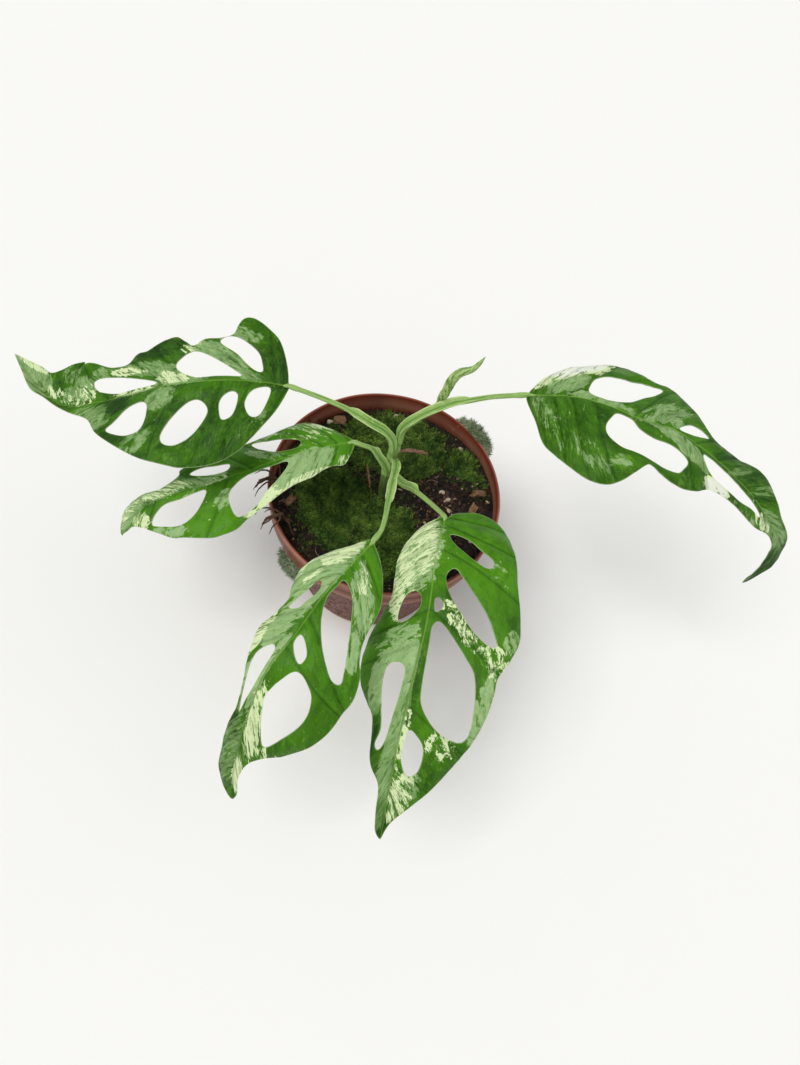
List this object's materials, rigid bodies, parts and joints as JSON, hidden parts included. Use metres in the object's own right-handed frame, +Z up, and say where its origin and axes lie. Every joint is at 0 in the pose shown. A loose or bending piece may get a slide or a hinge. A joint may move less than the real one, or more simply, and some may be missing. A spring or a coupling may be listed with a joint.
{
  "type": "potted monstera adansonii",
  "caption": "Young variegated monstera adansonii with arching perforated leaves on slim petioles, rooted in mossy soil in a thin round plastic nursery pot.",
  "frame": {"origin": "centre of the pot's flat base, on the surface that the pot stands on", "axes": "+Z up along the pot's axis, -Y towards the front of the plant, +X to its right"},
  "size_m": [0.3747, 0.2249, 0.1861],
  "materials": {
    "pot_plastic": "satin terracotta-coloured thin plastic",
    "potting_soil": "dark, damp, crumbly and matt",
    "moss_green": "soft short green pile, matt",
    "dry_moss": "pale grey-green fuzzy tuft, matt",
    "stem_green": "smooth olive green, satin",
    "stalk_green": "smooth pale green, satin",
    "blade_green": "satin green marbled with silver and cream",
    "new_leaf_green": "pale green flecked dark, satin",
    "root_brown": "rough brown",
    "bark_brown": "rough fibrous brown",
    "perlite_white": "dusty off-white grain"
  },
  "bodies": {
    "root": {"aerial_root": "root_brown", "bark_chip_1": "bark_brown", "bark_chip_2": "bark_brown", "bark_chip_3": "bark_brown", "bark_chip_4": "bark_brown", "bark_chip_5": "bark_brown", "dead_root_back": "root_brown", "dead_root_front": "root_brown", "leaf_back_left": "blade_green", "leaf_front_left": "blade_green", "leaf_front_right": "blade_green", "leaf_left": "blade_green", "leaf_right": "blade_green", "main_stem": "stem_green", "moss_back": "moss_green", "moss_back_right": "moss_green", "moss_front": "moss_green", "moss_front_left": "moss_green", "moss_left": "moss_green", "moss_tuft_outside_back": "dry_moss", "moss_tuft_outside_left": "dry_moss", "new_leaf": "new_leaf_green", "perlite_1": "perlite_white", "perlite_2": "perlite_white", "perlite_3": "perlite_white", "perlite_4": "perlite_white", "perlite_5": "perlite_white", "perlite_6": "perlite_white", "petiole_back_left": "stalk_green", "petiole_front_left": "stalk_green", "petiole_front_right": "stalk_green", "petiole_left": "stalk_green", "petiole_right": "stalk_green", "pot": "pot_plastic", "soil": "potting_soil"}
  },
  "joints": []
}
